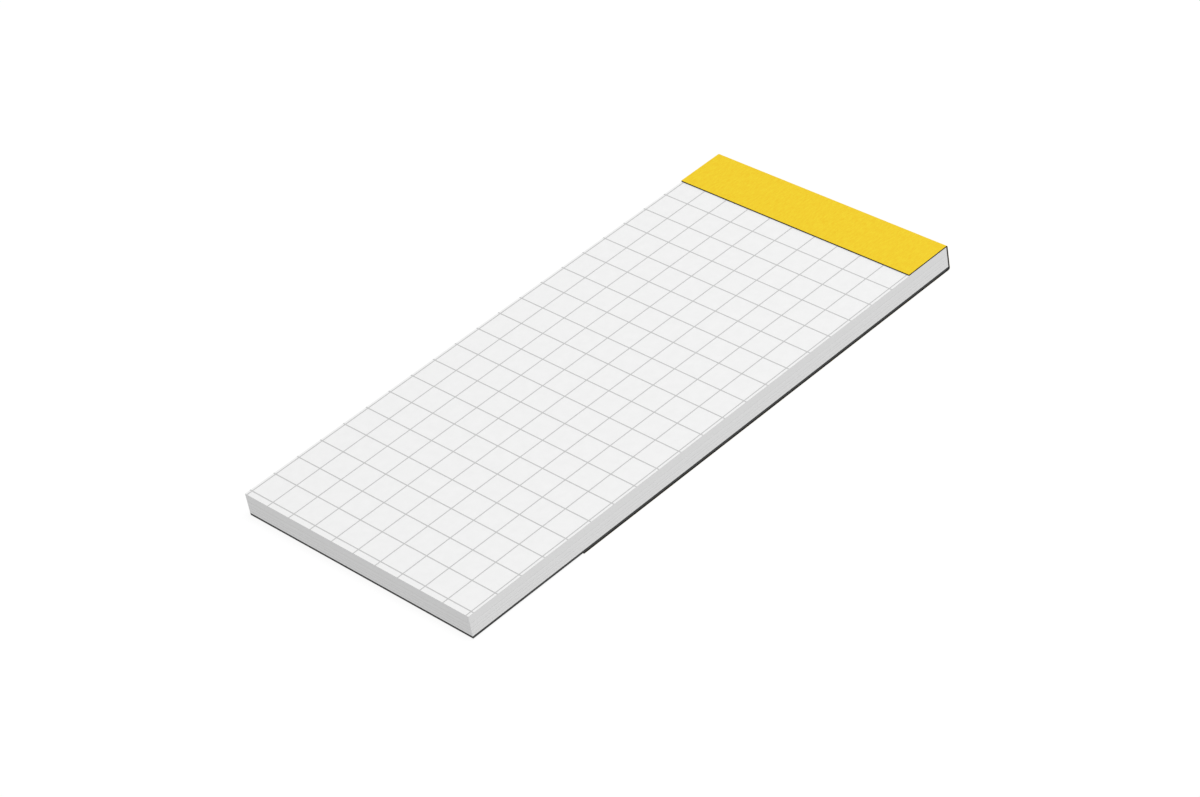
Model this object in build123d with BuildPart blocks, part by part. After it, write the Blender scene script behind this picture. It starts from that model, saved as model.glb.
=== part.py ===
"""Grid notepad: a block of squared sheets glued at the head, on a board, in a folded card wrap.

+X runs across the sheets, +Y runs towards the bound head and +Z is up.
The origin is the middle of the footprint, on the surface that the pad lies on.
"""

from build123d import *

import os
from itertools import accumulate

# Sheets, whose cut edges part into sheaves of so many leaves, counted from the board up
sheet_width = 51.0
sheet_length = 109.85
leaf_thickness = 0.097
sheaf_leaves = (5, 7, 5, 8, 15)
sheaf_gap = 0.02
sheaf_gap_depth = 0.06

# Squares printed on the top sheet, with lines that run off at the front and the sides
square_pitch = 5.0
ruling_width = 0.2
ruling_ink = 0.02
ruling_least_margin = 0.4
ruling_front_margin = 1.1

# Backing board, cut with the sheets
board_thickness = 0.45

# Padding glue, brushed over the head of the block
glue_thickness = 0.1

# Card wrap: a strip on the face, the head, and a flap under the board
wrap_thickness = 0.25
strip_depth = 9.7
flap_length = 86.6

# Levels, from the flap's underside up
board_bottom = wrap_thickness
block_bottom = board_bottom + board_thickness
block_height = sum(sheaf_leaves) * leaf_thickness
block_top = block_bottom + block_height

# Places along the pad, from the front edge to the outside of the wrap
pad_length = sheet_length + glue_thickness + wrap_thickness
front_edge = -pad_length / 2
sheet_head = front_edge + sheet_length
wrap_inside = sheet_head + glue_thickness
wrap_outside = wrap_inside + wrap_thickness
strip_edge = wrap_outside - strip_depth
flap_edge = wrap_outside - flap_length
sheet_middle = (front_edge + sheet_head) / 2

# As many squares as fit between the edges of the sheet and in front of the strip
column_count = int((sheet_width - 2 * ruling_least_margin) // square_pitch)
row_count = int((strip_edge - front_edge - ruling_front_margin) // square_pitch)
ruling_length = strip_edge - front_edge
ruling_middle = (front_edge + strip_edge) / 2
row_middle = front_edge + ruling_front_margin + row_count * square_pitch / 2

# Sheet block: one solid, with the gaps between its sheaves on the front and both sides
gap_planes = [
    Plane((0, sheet_middle, block_bottom + leaves * leaf_thickness - sheaf_gap / 2))
    for leaves in accumulate(sheaf_leaves[:-1])
]
with BuildPart() as sheet_block:
    with BuildSketch(Plane((0, sheet_middle, block_bottom))):
        Rectangle(sheet_width, sheet_length)
    extrude(amount=block_height)
    with BuildSketch(*gap_planes):
        Rectangle(sheet_width, sheet_length)
        with Locations((0, sheaf_gap_depth / 2)):
            Rectangle(
                sheet_width - 2 * sheaf_gap_depth,
                sheet_length - sheaf_gap_depth,
                mode=Mode.SUBTRACT,
            )
    extrude(amount=sheaf_gap, mode=Mode.SUBTRACT)
sheet_block.part.label = "sheet_block"

# Ruled grid: one lattice of ink on the top sheet, up to the edge of the strip
with BuildPart() as ruled_grid:
    with BuildSketch(Plane((0, 0, block_top))):
        with Locations((0, ruling_middle)):
            with GridLocations(square_pitch, 0, column_count + 1, 1):
                Rectangle(ruling_width, ruling_length)
        with Locations((0, row_middle)):
            with GridLocations(0, square_pitch, 1, row_count + 1):
                Rectangle(sheet_width, ruling_width)
    extrude(amount=ruling_ink)
ruled_grid.part.label = "ruled_grid"

# Backing board: the outline of the sheets
with BuildPart() as backing_board:
    with BuildSketch(Plane((0, sheet_middle, board_bottom))):
        Rectangle(sheet_width, sheet_length)
    extrude(amount=board_thickness)
backing_board.part.label = "backing_board"

# Padding glue: it fills the wrap between its two folds
with BuildPart() as padding_glue:
    with BuildSketch(Plane.YZ):
        with BuildLine():
            lower_round = TangentArc(
                (sheet_head, board_bottom),
                (wrap_inside, board_bottom + glue_thickness),
                tangent=(1, 0),
            )
            outer_face = Line(lower_round @ 1, (wrap_inside, block_top - glue_thickness))
            upper_round = TangentArc(outer_face @ 1, (sheet_head, block_top), tangent=outer_face % 1)
            Line(upper_round @ 1, lower_round @ 0)
        make_face()
    extrude(amount=sheet_width / 2, both=True)
padding_glue.part.label = "padding_glue"

# Head wrap: the inner face of the card is drawn as one folded line and given the card's thickness
with BuildPart() as head_wrap:
    with BuildSketch(Plane.YZ):
        with BuildLine():
            FilletPolyline(
                (strip_edge, block_top),
                (wrap_inside, block_top),
                (wrap_inside, board_bottom),
                (flap_edge, board_bottom),
                radius=glue_thickness,
            )
            offset(amount=wrap_thickness, side=Side.LEFT)
        make_face()
    extrude(amount=sheet_width / 2, both=True)
head_wrap.part.label = "head_wrap"

os.makedirs("parts", exist_ok=True)
for piece in (sheet_block, ruled_grid, backing_board, padding_glue, head_wrap):
    export_step(piece.part, f"parts/{piece.part.label}.step")
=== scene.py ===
"""Looks of a grid notepad: cut leaves, printed squares, a grey board, dried glue and a folded card wrap.

Lengths are in metres. +X runs across the sheets, +Y towards the glued head and +Z is up.
"""

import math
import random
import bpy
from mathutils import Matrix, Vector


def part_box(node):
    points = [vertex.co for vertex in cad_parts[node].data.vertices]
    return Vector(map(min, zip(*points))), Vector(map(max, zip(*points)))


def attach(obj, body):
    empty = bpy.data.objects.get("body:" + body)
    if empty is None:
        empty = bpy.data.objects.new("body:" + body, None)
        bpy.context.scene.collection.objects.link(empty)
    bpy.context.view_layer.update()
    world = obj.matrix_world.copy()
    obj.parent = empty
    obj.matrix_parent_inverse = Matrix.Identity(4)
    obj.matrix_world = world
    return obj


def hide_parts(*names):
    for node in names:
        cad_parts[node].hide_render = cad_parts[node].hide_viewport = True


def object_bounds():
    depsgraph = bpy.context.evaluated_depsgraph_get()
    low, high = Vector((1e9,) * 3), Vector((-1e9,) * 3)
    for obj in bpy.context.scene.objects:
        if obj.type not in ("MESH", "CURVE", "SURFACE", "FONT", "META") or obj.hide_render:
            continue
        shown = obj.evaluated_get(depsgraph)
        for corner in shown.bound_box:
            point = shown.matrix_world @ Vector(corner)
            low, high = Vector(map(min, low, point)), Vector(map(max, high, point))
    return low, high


bl_info = {
    "name": "Grid notepad",
    "version": (1, 0, 0),
    "blender": (4, 5, 0),
    "location": "3D View > Sidebar > Notepad",
    "description": "Builds the leaves, board, glue and card wrap of a grid notepad on a plain stage",
    "category": "Object",
}

from itertools import accumulate

import bmesh
import bpy
from bpy.props import (
    FloatProperty,
    FloatVectorProperty,
    IntProperty,
    IntVectorProperty,
    PointerProperty,
)
from mathutils import Matrix, Quaternion, Vector

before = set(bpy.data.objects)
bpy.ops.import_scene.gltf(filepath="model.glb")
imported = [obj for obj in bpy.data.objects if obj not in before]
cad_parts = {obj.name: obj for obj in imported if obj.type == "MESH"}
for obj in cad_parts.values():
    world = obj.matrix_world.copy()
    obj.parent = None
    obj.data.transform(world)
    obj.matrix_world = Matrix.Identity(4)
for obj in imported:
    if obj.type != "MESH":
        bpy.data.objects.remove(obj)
CAD_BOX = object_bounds()

BODY = "root"    # Nothing on the pad moves, so it is one body
MM = 0.001
QUARTER_TURN = math.radians(90)
SHARP_ANGLE = math.radians(30)
STEEP = math.cos(math.radians(60))    # A face is steep where its normal's Z is under this
UNIT_SQUARE = 0.5    # A grid is given half of its side
X_AXIS = Vector((1.0, 0.0, 0.0))
Z_AXIS = Vector((0.0, 0.0, 1.0))
WHITE = (1.0, 1.0, 1.0, 1.0)

# Sheaves that the leaves part into at their cut edges
SHEAF_COUNT = 5

# Refractive indexes of paper fibre, which ink and dye stay close to, and of dried glue
PAPER_IOR = 1.5
GLUE_IOR = 1.46

# Material slots of the card
FACING, CORE = 0, 1

# Sockets of the Mix node when it mixes colours
MIX_FACTOR, MIX_FIRST, MIX_SECOND = 0, 6, 7
MIX_RESULT = 2


def linear(hex_colour):
    """Linear red, green and blue of an sRGB colour in six hex digits, by the standard's own curve."""
    shown = [int(hex_colour[i : i + 2], 16) / 255 for i in (0, 2, 4)]
    return tuple(c / 12.92 if c <= 0.04045 else ((c + 0.055) / 1.055) ** 2.4 for c in shown)


def length(name, description, millimetres):
    """A length that the user sets, with its default in millimetres."""
    return FloatProperty(
        name=name, description=description, default=millimetres * MM, min=0.0, precision=6, unit="LENGTH"
    )


def step_count(name, description, default):
    """A number of steps that the user sets."""
    return IntProperty(name=name, description=description, default=default, min=1)


def share(name, description, default):
    """A share from 0 to 1 that the user sets."""
    return FloatProperty(
        name=name, description=description, default=default, min=0.0, max=1.0, subtype="FACTOR"
    )


def colour(name, description, hex_colour):
    """A colour that the user sets, with its default in sRGB hex."""
    return FloatVectorProperty(
        name=name, description=description, default=linear(hex_colour), min=0.0, max=1.0, subtype="COLOR"
    )


class LeafSettings(bpy.types.PropertyGroup):
    """The block of writing paper."""

    sheaves: IntVectorProperty(
        name="Sheaves",
        description="Leaves in each sheaf that the knife left, from the board up",
        default=(5, 7, 5, 8, 15),
        size=SHEAF_COUNT,
        min=1,
    )
    edge_round: length("Edge round", "How far a leaf's cut edge draws in at its face", 0.001)
    edge_rise: length("Edge rise", "Height over which a leaf's cut edge draws in", 0.02)
    edge_scatter: length("Edge scatter", "How far a cut edge may stand back from the block's side", 0.001)
    sheaf_step: length("Sheaf step", "How far the last leaf of a sheaf stands back", 0.012)
    sheaf_tones: FloatVectorProperty(
        name="Sheaf tones",
        description="Tone of the cut edges in each sheaf, from the edge's shade to its light colour",
        default=(0.99, 0.99, 0.99, 0.99, 0.91),
        size=SHEAF_COUNT,
        min=0.0,
        max=1.0,
    )
    # A sheaf's last leaf steps back under the leaf above, and its cut edge takes painted shade for that gap
    painted_gap_shade: share("Gap tone", "Tone of the cut edge of a sheaf's last leaf", 0.2)
    tone_scatter: share("Tone scatter", "How much lighter or darker one leaf's edge is than the next", 0.05)
    edge_light_colour: colour("Edge light", "Cut edge of a clean leaf", "F1F1F1")
    # Painted shade of the cut edges, reached on the last leaf of each sheaf
    edge_painted_shade_colour: colour("Edge shade", "Cut edge that a gap shades", "DFDFDF")
    light_colour: colour("Light", "Face of the paper where the fibres lie thin", "F7F7F7")
    shade_colour: colour("Shade", "Face of the paper where the fibres lie thick", "EFEFEF")
    cloud_size: length("Cloud size", "Size of the faint clouds in the sheet", 1.6)
    fibre_size: length("Fibre size", "Size of the tooth of the sheet, drawn coarse enough to show", 0.3)
    fibre_height: length("Fibre height", "Height of the tooth of the sheet", 0.004)
    roughness: share("Roughness", "How matt the paper is", 0.9)
    gloss: share("Gloss", "Strength of the faint gloss on the paper", 0.15)
    seed: IntProperty(name="Seed", description="Seed of the scatter of the cut edges", default=7, min=0)


class InkSettings(bpy.types.PropertyGroup):
    """The printed squares."""

    full_colour: colour("Full", "Ink where it printed full", "C2C2C2")
    thin_colour: colour("Thin", "Ink where the paper took less of it", "CECECE")
    mottle_size: length("Mottle size", "Size of the mottle in the printed line", 0.5)
    roughness: share("Roughness", "How matt the ink is", 0.85)
    gloss: share("Gloss", "Strength of the faint gloss on the ink", 0.15)


class BoardSettings(bpy.types.PropertyGroup):
    """The grey backing board."""

    edge_round: length("Edge round", "Rounding that the knife pressed into the board's edges", 0.02)
    edge_steps: step_count("Edge steps", "Steps in the rounding of an edge", 3)
    ground_colour: colour("Ground", "Pulp of the board", "4C4C4C")
    dark_colour: colour("Dark fleck", "Dark fibres in the pulp", "383837")
    light_colour: colour("Light fleck", "Pale fibres in the pulp", "666664")
    fleck_width: length("Fleck width", "Width of a fibre fleck", 0.25)
    fleck_length: length("Fleck length", "Length of a fibre fleck, along the pad", 0.9)
    ply_height: length("Ply height", "Height of the plies that the cut edge shows", 0.09)
    dark_start: share("Dark start", "Level of the pulp noise under which it darkens", 0.5)
    dark_full: share("Dark full", "Level of the pulp noise at which a dark fleck is full", 0.3)
    light_start: share("Light start", "Level of the pulp noise over which it pales", 0.56)
    light_full: share("Light full", "Level of the pulp noise at which a light fleck is full", 0.74)
    tooth_height: length("Tooth height", "Height of the board's tooth", 0.01)
    roughness: share("Roughness", "How matt the board is", 0.92)
    gloss: share("Gloss", "Strength of the faint gloss on the board", 0.1)


class GlueSettings(bpy.types.PropertyGroup):
    """The padding glue along the head, near black as painted shade of the gap inside the card's fold."""

    # Both glue colours are near black as painted shade of the gap inside the card's fold
    thin_colour: colour("Thin", "Glue where it dried thin", "3A3938")
    thick_colour: colour("Thick", "Glue where it dried thick", "2B2A29")
    stroke_size: length("Stroke size", "Spacing of the brush strokes", 0.6)
    roughness: share("Roughness", "How dull the glue dried", 0.45)
    gloss: share("Gloss", "Strength of the glue's soft shine", 0.3)


class CardSettings(bpy.types.PropertyGroup):
    """The folded card wrap."""

    facing: length("Facing", "Thickness of the dyed facing on the outside of the card", 0.012)
    cut_round: length("Cut round", "Rounding of the cut edges", 0.004)
    cut_steps: step_count("Cut steps", "Steps in the rounding of a cut edge", 2)
    fold_steps: step_count("Fold steps", "Steps in each quarter-turn fold", 8)
    light_colour: colour("Light", "Facing on the crests of the grain", "FEF241")
    shade_colour: colour("Shade", "Facing in the hollows of the grain", "E7A402")
    core_colour: colour("Core", "Core of the card", "1C1B1B")
    core_fleck_colour: colour("Core fleck", "Paler fibres in the core", "292827")
    grain_width: length("Grain width", "Width of the broadest grain across the card", 0.34)
    grain_length: length("Grain length", "Length of the longest grain along the card", 1.6)
    grain_height: length("Grain height", "Height of the grain", 0.006)
    facing_roughness: share("Facing roughness", "How matt the facing is", 0.75)
    facing_gloss: share("Facing gloss", "Strength of the faint gloss on the facing", 0.1)
    core_roughness: share("Core roughness", "How dull the cut core is", 0.95)
    core_gloss: share("Core gloss", "Strength of the faint gloss on the cut core", 0.05)


class StageSettings(bpy.types.PropertyGroup):
    """The floor, the light and the camera."""

    floor_size: FloatProperty(
        name="Floor size", description="Side of the floor", default=8.0, min=0.0, unit="LENGTH"
    )
    floor_gap: length("Floor gap", "Air under the pad, so that it and the floor share no face", 0.01)
    floor_bounce: share("Floor bounce", "Light that the floor throws back at the pad", 0.775)
    floor_glow: share("Floor glow", "White that the floor shows even in shadow", 0.9)
    floor_shade: share("Floor shade", "White that the light adds and a shadow takes away", 0.12)
    soft_light: FloatProperty(
        name="Soft light", description="Strength of the light from all round", default=0.46, min=0.0
    )
    key_power: FloatProperty(
        name="Key power", description="Power of the lamp overhead", default=10.95, min=0.0, unit="POWER"
    )
    key_size: FloatProperty(
        name="Key size", description="Side of the lamp overhead", default=0.7, min=0.0, unit="LENGTH"
    )
    key_place: FloatVectorProperty(
        name="Key place",
        description="Middle of the lamp overhead",
        default=(0.36, 0.19, 1.3),
        subtype="XYZ",
    )
    aim: FloatVectorProperty(
        name="Aim",
        description="Point that the camera looks at",
        default=(3.01 * MM, -4.453 * MM, 2.455 * MM),
        subtype="XYZ",
    )
    distance: length("Distance", "From the camera to the point that it looks at", 548.72)
    azimuth: FloatProperty(
        name="Azimuth",
        description="Turn of the camera from the front edge towards +X",
        default=math.radians(50.79),
        subtype="ANGLE",
    )
    elevation: FloatProperty(
        name="Elevation",
        description="Angle of the camera above the floor",
        default=math.radians(36.804),
        subtype="ANGLE",
    )
    roll: FloatProperty(
        name="Roll",
        description="Turn of the camera about its line of sight",
        default=math.radians(-10.754),
        subtype="ANGLE",
    )
    lens: FloatProperty(
        name="Lens",
        description="Focal length in millimetres",
        default=103.612,
        min=1.0,
        subtype="DISTANCE_CAMERA",
    )


def add_node(tree, kind, sockets=None, **settings):
    """Adds a node with its settings. A socket is given a value, or another node's output to link to."""
    node = tree.nodes.new(kind)
    for name, value in settings.items():
        setattr(node, name, value)
    for key, value in (sockets or {}).items():
        if isinstance(value, bpy.types.NodeSocket):
            tree.links.new(value, node.inputs[key])
        else:
            node.inputs[key].default_value = value
    return node


def start_material(name):
    """A material with an empty node tree."""
    material = bpy.data.materials.new(name)
    material.use_nodes = True
    material.node_tree.nodes.clear()
    return material, material.node_tree


def opaque(rgb):
    """A colour as a socket takes it, with full alpha."""
    return (*rgb, 1.0)


def writing_paper(leaf):
    """Uncoated writing paper from a machine, cut with a knife: matt and bright, with faint clouds of fibre.

    At the cut edges each leaf is a little lighter or darker than the next, and the last leaf of each sheaf
    is darker still, as painted shade of the gap above it.
    """
    material, tree = start_material("uncoated_writing_paper")
    place = add_node(tree, "ShaderNodeTexCoord").outputs["Object"]
    cloud = add_node(
        tree,
        "ShaderNodeTexNoise",
        {"Vector": place, "Scale": 1 / leaf.cloud_size, "Detail": 4.0, "Roughness": 0.6},
    )
    cut_edge = add_node(tree, "ShaderNodeAttribute", attribute_name="cut_edge")
    leaf_tone_and_gap_shade = add_node(tree, "ShaderNodeAttribute", attribute_name="leaf_tone_and_gap_shade")
    face = add_node(
        tree,
        "ShaderNodeMix",
        {
            MIX_FACTOR: cloud.outputs["Fac"],
            MIX_FIRST: opaque(leaf.shade_colour),
            MIX_SECOND: opaque(leaf.light_colour),
        },
        data_type="RGBA",
    )
    # Cut edges: a random tone for each leaf, and painted shade on the last leaf of each sheaf
    edge = add_node(
        tree,
        "ShaderNodeMix",
        {
            MIX_FACTOR: leaf_tone_and_gap_shade.outputs["Fac"],
            MIX_FIRST: opaque(leaf.edge_painted_shade_colour),
            MIX_SECOND: opaque(leaf.edge_light_colour),
        },
        data_type="RGBA",
    )
    paper = add_node(
        tree,
        "ShaderNodeMix",
        {
            MIX_FACTOR: cut_edge.outputs["Fac"],
            MIX_FIRST: face.outputs[MIX_RESULT],
            MIX_SECOND: edge.outputs[MIX_RESULT],
        },
        data_type="RGBA",
    )
    fibre = add_node(
        tree,
        "ShaderNodeTexNoise",
        {"Vector": place, "Scale": 1 / leaf.fibre_size, "Detail": 3.0, "Roughness": 0.65},
    )
    on_face = add_node(
        tree, "ShaderNodeMath", {0: 1.0, 1: cut_edge.outputs["Fac"]}, operation="SUBTRACT"
    )
    tooth = add_node(
        tree,
        "ShaderNodeBump",
        {
            "Strength": on_face.outputs["Value"],
            "Distance": leaf.fibre_height,
            "Height": fibre.outputs["Fac"],
        },
    )
    shader = add_node(
        tree,
        "ShaderNodeBsdfPrincipled",
        {
            "Base Color": paper.outputs[MIX_RESULT],
            "Roughness": leaf.roughness,
            "IOR": PAPER_IOR,
            "Specular IOR Level": leaf.gloss,
            "Normal": tooth.outputs["Normal"],
        },
    )
    add_node(tree, "ShaderNodeOutputMaterial", {"Surface": shader.outputs["BSDF"]})
    return material


def printed_ink(ink):
    """Grey offset ink on uncoated paper: matt, and a little uneven where the paper drank it."""
    material, tree = start_material("grey_offset_ink")
    place = add_node(tree, "ShaderNodeTexCoord").outputs["Object"]
    mottle = add_node(
        tree,
        "ShaderNodeTexNoise",
        {"Vector": place, "Scale": 1 / ink.mottle_size, "Detail": 2.0, "Roughness": 0.5},
    )
    film = add_node(
        tree,
        "ShaderNodeMix",
        {
            MIX_FACTOR: mottle.outputs["Fac"],
            MIX_FIRST: opaque(ink.full_colour),
            MIX_SECOND: opaque(ink.thin_colour),
        },
        data_type="RGBA",
    )
    shader = add_node(
        tree,
        "ShaderNodeBsdfPrincipled",
        {
            "Base Color": film.outputs[MIX_RESULT],
            "Roughness": ink.roughness,
            "IOR": PAPER_IOR,
            "Specular IOR Level": ink.gloss,
        },
    )
    add_node(tree, "ShaderNodeOutputMaterial", {"Surface": shader.outputs["BSDF"]})
    return material


def grey_board(board):
    """Grey board pressed from waste paper: matt, with dark and pale fibres in its pulp.

    At the cut edge the fibres lie flat in plies.
    """
    material, tree = start_material("pressed_grey_board")
    place = add_node(tree, "ShaderNodeTexCoord").outputs["Object"]
    fleck_sizes = board.fleck_width, board.fleck_length, board.ply_height
    fibres = add_node(
        tree, "ShaderNodeMapping", {"Vector": place, "Scale": [1 / size for size in fleck_sizes]}
    )
    pulp = add_node(
        tree,
        "ShaderNodeTexNoise",
        {"Vector": fibres.outputs["Vector"], "Scale": 1.0, "Detail": 4.0, "Roughness": 0.7},
    )
    dark = add_node(
        tree,
        "ShaderNodeMapRange",
        {"Value": pulp.outputs["Fac"], "From Min": board.dark_start, "From Max": board.dark_full},
    )
    pale = add_node(
        tree,
        "ShaderNodeMapRange",
        {"Value": pulp.outputs["Fac"], "From Min": board.light_start, "From Max": board.light_full},
    )
    darkened = add_node(
        tree,
        "ShaderNodeMix",
        {
            MIX_FACTOR: dark.outputs["Result"],
            MIX_FIRST: opaque(board.ground_colour),
            MIX_SECOND: opaque(board.dark_colour),
        },
        data_type="RGBA",
    )
    flecked = add_node(
        tree,
        "ShaderNodeMix",
        {
            MIX_FACTOR: pale.outputs["Result"],
            MIX_FIRST: darkened.outputs[MIX_RESULT],
            MIX_SECOND: opaque(board.light_colour),
        },
        data_type="RGBA",
    )
    tooth = add_node(
        tree,
        "ShaderNodeBump",
        {"Strength": 1.0, "Distance": board.tooth_height, "Height": pulp.outputs["Fac"]},
    )
    shader = add_node(
        tree,
        "ShaderNodeBsdfPrincipled",
        {
            "Base Color": flecked.outputs[MIX_RESULT],
            "Roughness": board.roughness,
            "IOR": PAPER_IOR,
            "Specular IOR Level": board.gloss,
            "Normal": tooth.outputs["Normal"],
        },
    )
    add_node(tree, "ShaderNodeOutputMaterial", {"Surface": shader.outputs["BSDF"]})
    return material


def dried_glue(glue):
    """Padding glue, brushed on and dried: a dark film with a soft shine, a little uneven in depth. Its near
    black is painted shade of the gap between the block's head and the card's fold.
    """
    material, tree = start_material("padding_glue_painted_shade")
    place = add_node(tree, "ShaderNodeTexCoord").outputs["Object"]
    strokes = add_node(
        tree,
        "ShaderNodeTexNoise",
        {"Vector": place, "Scale": 1 / glue.stroke_size, "Detail": 2.0, "Roughness": 0.5},
    )
    # Near-black film, painted shade of the gap in the card's fold, with uneven brush strokes
    film = add_node(
        tree,
        "ShaderNodeMix",
        {
            MIX_FACTOR: strokes.outputs["Fac"],
            MIX_FIRST: opaque(glue.thin_colour),
            MIX_SECOND: opaque(glue.thick_colour),
        },
        data_type="RGBA",
    )
    shader = add_node(
        tree,
        "ShaderNodeBsdfPrincipled",
        {
            "Base Color": film.outputs[MIX_RESULT],
            "Roughness": glue.roughness,
            "IOR": GLUE_IOR,
            "Specular IOR Level": glue.gloss,
        },
    )
    add_node(tree, "ShaderNodeOutputMaterial", {"Surface": shader.outputs["BSDF"]})
    return material


def yellow_facing(card):
    """Dyed, uncoated card facing: matt and strong in colour, with a fine grain that runs along the card."""
    material, tree = start_material("yellow_dyed_card")
    place = add_node(tree, "ShaderNodeTexCoord").outputs["Object"]
    across = add_node(tree, "ShaderNodeSeparateXYZ", {"Vector": place})
    along = add_node(tree, "ShaderNodeAttribute", attribute_name="along_card")
    on_card = add_node(
        tree, "ShaderNodeCombineXYZ", {"X": across.outputs["X"], "Y": along.outputs["Fac"]}
    )
    stretched = add_node(
        tree,
        "ShaderNodeMapping",
        {
            "Vector": on_card.outputs["Vector"],
            "Scale": (1 / card.grain_width, 1 / card.grain_length, 1.0),
        },
    )
    grain = add_node(
        tree,
        "ShaderNodeTexNoise",
        {"Vector": stretched.outputs["Vector"], "Scale": 1.0, "Detail": 4.0, "Roughness": 1.0},
    )
    dye = add_node(
        tree,
        "ShaderNodeMix",
        {
            MIX_FACTOR: grain.outputs["Fac"],
            MIX_FIRST: opaque(card.shade_colour),
            MIX_SECOND: opaque(card.light_colour),
        },
        data_type="RGBA",
    )
    tooth = add_node(
        tree,
        "ShaderNodeBump",
        {"Strength": 1.0, "Distance": card.grain_height, "Height": grain.outputs["Fac"]},
    )
    shader = add_node(
        tree,
        "ShaderNodeBsdfPrincipled",
        {
            "Base Color": dye.outputs[MIX_RESULT],
            "Roughness": card.facing_roughness,
            "IOR": PAPER_IOR,
            "Specular IOR Level": card.facing_gloss,
            "Normal": tooth.outputs["Normal"],
        },
    )
    add_node(tree, "ShaderNodeOutputMaterial", {"Surface": shader.outputs["BSDF"]})
    return material


def black_core(card):
    """Black card core, cut with a knife: near black and dull, with a little paler fibre."""
    material, tree = start_material("black_card_core")
    place = add_node(tree, "ShaderNodeTexCoord").outputs["Object"]
    fibre = add_node(
        tree,
        "ShaderNodeTexNoise",
        {"Vector": place, "Scale": 1 / card.grain_width, "Detail": 3.0, "Roughness": 0.6},
    )
    pulp = add_node(
        tree,
        "ShaderNodeMix",
        {
            MIX_FACTOR: fibre.outputs["Fac"],
            MIX_FIRST: opaque(card.core_colour),
            MIX_SECOND: opaque(card.core_fleck_colour),
        },
        data_type="RGBA",
    )
    shader = add_node(
        tree,
        "ShaderNodeBsdfPrincipled",
        {
            "Base Color": pulp.outputs[MIX_RESULT],
            "Roughness": card.core_roughness,
            "IOR": PAPER_IOR,
            "Specular IOR Level": card.core_gloss,
        },
    )
    add_node(tree, "ShaderNodeOutputMaterial", {"Surface": shader.outputs["BSDF"]})
    return material


def seen_directly(tree):
    """1 for the rays that show the stage itself: from the camera, in a gloss or through glass."""
    ray = add_node(tree, "ShaderNodeLightPath")
    camera_or_gloss = add_node(
        tree,
        "ShaderNodeMath",
        {0: ray.outputs["Is Camera Ray"], 1: ray.outputs["Is Glossy Ray"]},
        operation="ADD",
    )
    seen = add_node(
        tree,
        "ShaderNodeMath",
        {0: camera_or_gloss.outputs["Value"], 1: ray.outputs["Is Transmission Ray"]},
        operation="ADD",
        use_clamp=True,
    )
    return seen.outputs["Value"]


def pale_floor(stage):
    """Matt white paper floor: it lights the pad from below, shows as white and keeps a soft shadow."""
    material, tree = start_material("matt_white_floor")
    bounce = add_node(tree, "ShaderNodeEmission", {"Strength": stage.floor_bounce})
    glow = add_node(tree, "ShaderNodeEmission", {"Strength": stage.floor_glow})
    shadowed = add_node(tree, "ShaderNodeBsdfDiffuse", {"Color": opaque([stage.floor_shade] * 3)})
    shown = add_node(
        tree, "ShaderNodeAddShader", {0: glow.outputs["Emission"], 1: shadowed.outputs["BSDF"]}
    )
    surface = add_node(
        tree,
        "ShaderNodeMixShader",
        {0: seen_directly(tree), 1: bounce.outputs["Emission"], 2: shown.outputs["Shader"]},
    )
    add_node(tree, "ShaderNodeOutputMaterial", {"Surface": surface.outputs["Shader"]})
    # Rays that bounce find the broad floor by themselves, so it isn't sampled as a lamp
    material.cycles.emission_sampling = "NONE"
    return material


def add_object(context, name, data):
    """An object at the origin, in the scene."""
    made = bpy.data.objects.new(name, data)
    context.scene.collection.objects.link(made)
    return made


def add_piece(context, name, bm, materials, node):
    """Makes a bmesh a piece that stands for a node and takes its finish from a slot."""
    mesh = bpy.data.meshes.new(name)
    bm.to_mesh(mesh)
    bm.free()
    for material in materials:
        mesh.materials.append(material)
    piece = add_object(context, name, mesh)
    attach(piece, BODY)
    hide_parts(node)
    return piece


def finish_node(node, material):
    """Gives a node that keeps its own shape its material."""
    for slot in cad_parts[node].material_slots:
        slot.material = material


def points(geometry):
    """The vertices among the vertices, edges and faces that an operator returns."""
    return [item for item in geometry if isinstance(item, bmesh.types.BMVert)]


def round_edges(bm, edges, rounding, segments):
    """Rounds edges in so many segments."""
    bmesh.ops.bevel(
        bm,
        geom=edges,
        offset=rounding,
        offset_type="OFFSET",
        segments=segments,
        profile=0.5,
        affect="EDGES",
        material=-1,
    )


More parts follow.
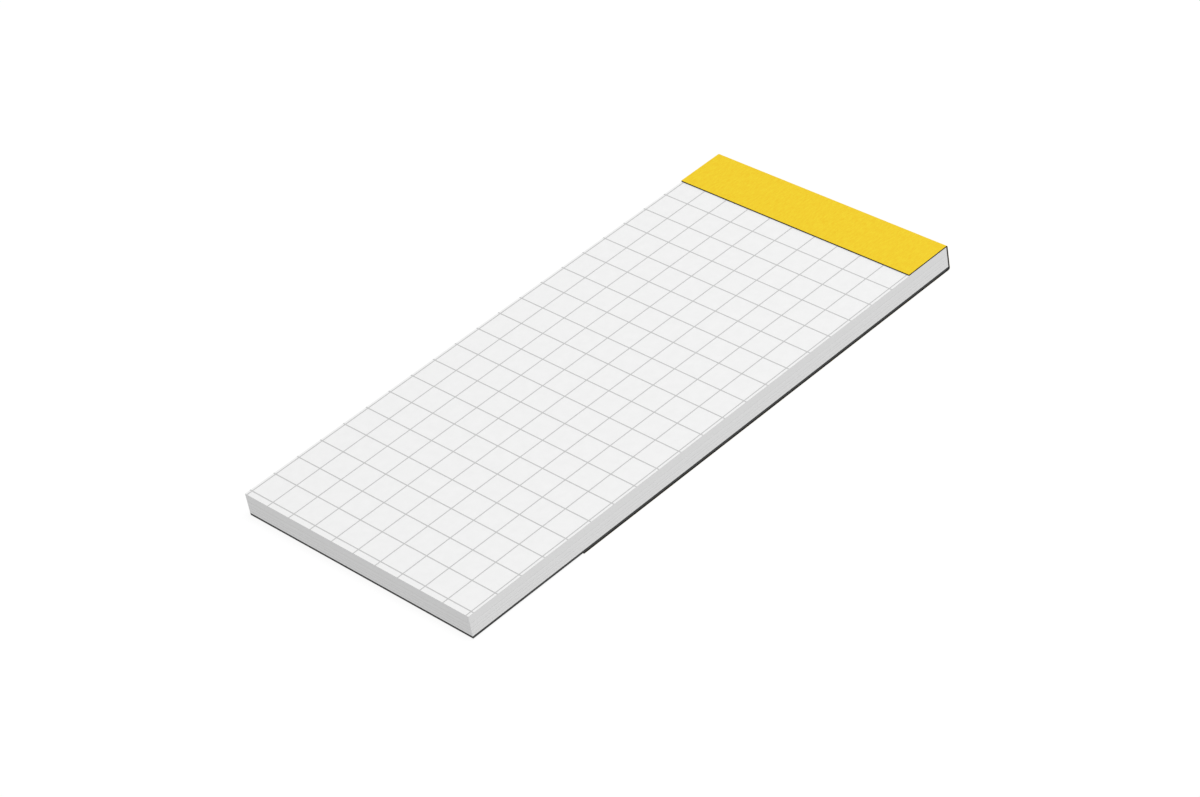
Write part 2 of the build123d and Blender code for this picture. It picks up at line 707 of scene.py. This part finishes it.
class NOTEPAD_OT_leaves(bpy.types.Operator):
    """Grows the block leaf by leaf, each with its own cut edges"""

    bl_idname = "notepad.leaves"
    bl_label = "Leaves"

    def execute(self, context):
        leaf = context.scene.notepad_leaf
        scatter = random.Random(leaf.seed)
        low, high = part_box("sheet_block")
        thickness = (high.z - low.z) / sum(leaf.sheaves)
        sheaves = zip(leaf.sheaves, leaf.sheaf_tones)
        sheaf_tones = [tone for leaves, tone in sheaves for _ in range(leaves)]
        beside_gaps = [top - 1 for top in accumulate(leaf.sheaves[:-1])]
        tones = []
        outlines = []
        for index, sheaf_tone in enumerate(sheaf_tones):
            step = leaf.sheaf_step if index in beside_gaps else 0.0
            left, right, front = (step + scatter.uniform(0, leaf.edge_scatter) for _ in range(3))
            bottom = low.z + index * thickness
            corners = Vector((low.x + left, low.y + front)), Vector((high.x - right, high.y))
            # A leaf's lower face is the upper face of the leaf under it
            outlines.append(self.outline(*corners, bottom, leaf.edge_round))
            outlines.append(self.outline(*corners, bottom + leaf.edge_rise))
            outlines.append(self.outline(*corners, bottom + thickness - leaf.edge_rise))
            # The last leaf of a sheaf takes painted shade on its cut edge, for the gap above it
            tone = leaf.painted_gap_shade if index in beside_gaps else sheaf_tone
            tones.append(tone + scatter.uniform(-leaf.tone_scatter, leaf.tone_scatter))
        # The top leaf closes the block with its own upper face
        outlines.append(self.outline(*corners, high.z, leaf.edge_round))
        bm = bmesh.new()
        cut_edge = bm.faces.layers.float.new("cut_edge")
        leaf_tone_and_gap_shade = bm.faces.layers.float.new("leaf_tone_and_gap_shade")
        self.grow(bm, outlines)
        for face in bm.faces:
            index = int((face.calc_center_median().z - low.z) / thickness)
            face[cut_edge] = float(abs(face.normal.z) < STEEP)
            face[leaf_tone_and_gap_shade] = tones[min(index, len(tones) - 1)]
        add_piece(context, "sheet_leaves", bm, [writing_paper(leaf)], "sheet_block")
        return {"FINISHED"}

    def outline(self, low, high, level, inset=0.0):
        """The matrix that lays a unit square on a leaf's outline, drawn in all round, at a level."""
        middle = (low + high) / 2
        size = high - low
        place = Matrix.Translation((middle.x, middle.y, level))
        return place @ Matrix.Diagonal((size.x - 2 * inset, size.y - 2 * inset, 1.0, 1.0))

    def grow(self, bm, outlines):
        """Draws a face up from outline to outline, as one closed solid."""
        bmesh.ops.create_grid(bm, x_segments=1, y_segments=1, size=UNIT_SQUARE, matrix=outlines[0])
        top = [*bm.verts, *bm.edges, *bm.faces]
        for last, following in zip(outlines, outlines[1:]):
            top = bmesh.ops.extrude_face_region(bm, geom=top)["geom"]
            bmesh.ops.transform(bm, matrix=following @ last.inverted(), verts=points(top))
        bmesh.ops.recalc_face_normals(bm, faces=bm.faces[:])


class NOTEPAD_OT_squares(bpy.types.Operator):
    """Prints the squares on the top leaf"""

    bl_idname = "notepad.squares"
    bl_label = "Squares"

    def execute(self, context):
        finish_node("ruled_grid", printed_ink(context.scene.notepad_ink))
        return {"FINISHED"}


class NOTEPAD_OT_board(bpy.types.Operator):
    """Makes the backing board, with the edges that the knife pressed round"""

    bl_idname = "notepad.board"
    bl_label = "Board"

    def execute(self, context):
        board = context.scene.notepad_board
        low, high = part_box("backing_board")
        place = Matrix.Translation((low + high) / 2) @ Matrix.Diagonal((*(high - low), 1.0))
        bm = bmesh.new()
        bmesh.ops.create_cube(bm, size=1.0, matrix=place)
        round_edges(bm, bm.edges[:], board.edge_round, board.edge_steps)
        add_piece(context, "grey_board", bm, [grey_board(board)], "backing_board")
        return {"FINISHED"}


class NOTEPAD_OT_glue(bpy.types.Operator):
    """Dries the padding glue along the head"""

    bl_idname = "notepad.glue"
    bl_label = "Glue"

    def execute(self, context):
        finish_node("padding_glue", dried_glue(context.scene.notepad_glue))
        return {"FINISHED"}


class NOTEPAD_OT_wrap(bpy.types.Operator):
    """Folds the card wrap round the head: a black core with a yellow facing outside it"""

    bl_idname = "notepad.wrap"
    bl_label = "Card wrap"

    def execute(self, context):
        card = context.scene.notepad_card
        low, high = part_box("head_wrap")
        glue_low, glue_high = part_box("padding_glue")
        strip_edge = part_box("ruled_grid")[1].y
        inner_round = glue_high.y - glue_low.y
        outer_round = inner_round + high.z - glue_high.z
        upper_fold = Vector((0.0, glue_low.y, glue_high.z - inner_round))
        lower_fold = Vector((0.0, glue_low.y, glue_low.z + inner_round))
        bm = bmesh.new()
        along_card = bm.verts.layers.float.new("along_card")
        section_low = Vector((low.x, strip_edge, glue_high.z))
        section_high = Vector((high.x, strip_edge, high.z))
        to_fold = Vector((0.0, upper_fold.y - strip_edge, 0.0))
        to_flap_edge = Vector((0.0, low.y - lower_fold.y, 0.0))
        section = self.add_section(bm, section_low, section_high, card.facing)
        section = self.lead_straight(bm, along_card, section, to_fold)
        section = self.lead_round(bm, along_card, section, upper_fold, outer_round, card.fold_steps)
        section = self.lead_straight(bm, along_card, section, lower_fold - upper_fold)
        section = self.lead_round(bm, along_card, section, lower_fold, outer_round, card.fold_steps)
        self.lead_straight(bm, along_card, section, to_flap_edge)
        bmesh.ops.recalc_face_normals(bm, faces=bm.faces[:])
        cut_edges = [edge for edge in bm.edges if edge.calc_face_angle() > SHARP_ANGLE]
        round_edges(bm, cut_edges, card.cut_round, card.cut_steps)
        materials = [yellow_facing(card), black_core(card)]
        piece = add_piece(context, "folded_card", bm, materials, "head_wrap")
        piece.data.shade_smooth()
        piece.data.set_sharp_from_angle(angle=SHARP_ANGLE)
        even_shading = piece.modifiers.new("even_shading", "WEIGHTED_NORMAL")
        even_shading.keep_sharp = True
        return {"FINISHED"}

    def add_section(self, bm, low, high, facing):
        """The cut section of the card at the edge of the strip: its core, and its facing on top."""
        upright = Matrix.Translation((low + high) / 2) @ Matrix.Rotation(QUARTER_TURN, 4, "X")
        size = Matrix.Diagonal((high.x - low.x, high.z - low.z, 1.0, 1.0))
        bmesh.ops.create_grid(bm, x_segments=1, y_segments=1, size=UNIT_SQUARE, matrix=upright @ size)
        seam = Vector((0.0, 0.0, high.z - facing))
        bmesh.ops.bisect_plane(
            bm, geom=[*bm.verts, *bm.edges, *bm.faces], plane_co=seam, plane_no=Z_AXIS
        )
        for face in bm.faces:
            face.material_index = FACING if face.calc_center_median().z > seam.z else CORE
        return [*bm.verts, *bm.edges, *bm.faces]

    def lead_straight(self, bm, along_card, section, way):
        """Draws the section along a straight run, and returns the section that the run ends in."""
        section = bmesh.ops.extrude_face_region(bm, geom=section)["geom"]
        bmesh.ops.translate(bm, verts=points(section), vec=way)
        self.mark(along_card, section, way.length)
        return section

    def lead_round(self, bm, along_card, section, centre, radius, steps):
        """Turns the section down a quarter-turn fold, and returns the section that the fold ends in."""
        turn = QUARTER_TURN / steps
        for _ in range(steps):
            section = bmesh.ops.spin(
                bm, geom=section, cent=centre, axis=X_AXIS, angle=-turn, steps=1
            )["geom_last"]
            self.mark(along_card, section, radius * turn)
        return section

    def mark(self, along_card, section, run):
        """Adds to how far along the card a new section lies, which it has from the section before."""
        for vert in points(section):
            vert[along_card] += run


class NOTEPAD_OT_stage(bpy.types.Operator):
    """Sets the pad on a pale floor, under soft light, before the camera"""

    bl_idname = "notepad.stage"
    bl_label = "Stage"

    def execute(self, context):
        stage = context.scene.notepad_stage
        self.add_floor(context, stage)
        self.add_light(context, stage)
        self.add_camera(context, stage)
        context.scene.view_settings.view_transform = "Standard"
        return {"FINISHED"}

    def add_floor(self, context, stage):
        """A level floor just under the pad."""
        bm = bmesh.new()
        level = Matrix.Translation((0.0, 0.0, CAD_BOX[0].z - stage.floor_gap))
        bmesh.ops.create_grid(bm, x_segments=1, y_segments=1, size=stage.floor_size / 2, matrix=level)
        mesh = bpy.data.meshes.new("floor")
        bm.to_mesh(mesh)
        bm.free()
        mesh.materials.append(pale_floor(stage))
        add_object(context, "floor", mesh)

    def add_light(self, context, stage):
        """Even light from all round, and a broad lamp overhead that leans to the right and the head."""
        world = bpy.data.worlds.new("studio")
        world.use_nodes = True
        tree = world.node_tree
        tree.nodes.clear()
        soft = add_node(tree, "ShaderNodeBackground", {"Strength": stage.soft_light, "Color": WHITE})
        white = add_node(tree, "ShaderNodeBackground", {"Strength": 1.0, "Color": WHITE})
        sky = add_node(
            tree,
            "ShaderNodeMixShader",
            {0: seen_directly(tree), 1: soft.outputs["Background"], 2: white.outputs["Background"]},
        )
        add_node(tree, "ShaderNodeOutputWorld", {"Surface": sky.outputs["Shader"]})
        context.scene.world = world
        lamp = bpy.data.lights.new("key", "AREA")
        lamp.energy = stage.key_power
        lamp.size = stage.key_size
        key = add_object(context, "key", lamp)
        key.location = stage.key_place
        key.rotation_euler = (-Vector(stage.key_place)).to_track_quat("-Z", "Y").to_euler()

    def add_camera(self, context, stage):
        """A long lens that looks down on the pad from the front right."""
        out = Vector(
            (
                math.cos(stage.elevation) * math.sin(stage.azimuth),
                -math.cos(stage.elevation) * math.cos(stage.azimuth),
                math.sin(stage.elevation),
            )
        )
        lens = bpy.data.cameras.new("camera")
        lens.lens = stage.lens
        lens.sensor_fit = "HORIZONTAL"
        camera = add_object(context, "camera", lens)
        camera.location = Vector(stage.aim) + out * stage.distance
        level = (-out).to_track_quat("-Z", "Y")
        camera.rotation_euler = (level @ Quaternion(Z_AXIS, stage.roll)).to_euler()
        context.scene.camera = camera


class NOTEPAD_PT_sidebar(bpy.types.Panel):
    """Lists the pieces of the notepad with their settings"""

    bl_idname = "NOTEPAD_PT_sidebar"
    bl_label = "Grid notepad"
    bl_space_type = "VIEW_3D"
    bl_region_type = "UI"
    bl_category = "Notepad"

    def draw(self, context):
        for operator, group in PIECES:
            box = self.layout.box()
            box.operator(operator.bl_idname)
            settings = getattr(context.scene, group)
            for name in settings.__annotations__:
                box.prop(settings, name)


GROUPS = {
    "notepad_leaf": LeafSettings,
    "notepad_ink": InkSettings,
    "notepad_board": BoardSettings,
    "notepad_glue": GlueSettings,
    "notepad_card": CardSettings,
    "notepad_stage": StageSettings,
}
PIECES = (
    (NOTEPAD_OT_leaves, "notepad_leaf"),
    (NOTEPAD_OT_squares, "notepad_ink"),
    (NOTEPAD_OT_board, "notepad_board"),
    (NOTEPAD_OT_glue, "notepad_glue"),
    (NOTEPAD_OT_wrap, "notepad_card"),
    (NOTEPAD_OT_stage, "notepad_stage"),
)
CLASSES = (*GROUPS.values(), *(operator for operator, _ in PIECES), NOTEPAD_PT_sidebar)


def register():
    """Registers the classes and hangs the settings on the scene."""
    for cls in CLASSES:
        bpy.utils.register_class(cls)
    for name, group in GROUPS.items():
        setattr(bpy.types.Scene, name, PointerProperty(type=group))


def unregister():
    """Takes the settings and the classes away again."""
    for name in GROUPS:
        delattr(bpy.types.Scene, name)
    for cls in reversed(CLASSES):
        bpy.utils.unregister_class(cls)


def main():
    """Builds the notepad piece by piece."""
    register()
    bpy.ops.notepad.leaves()
    bpy.ops.notepad.squares()
    bpy.ops.notepad.board()
    bpy.ops.notepad.glue()
    bpy.ops.notepad.wrap()
    bpy.ops.notepad.stage()


if __name__ == "__main__":
    main()
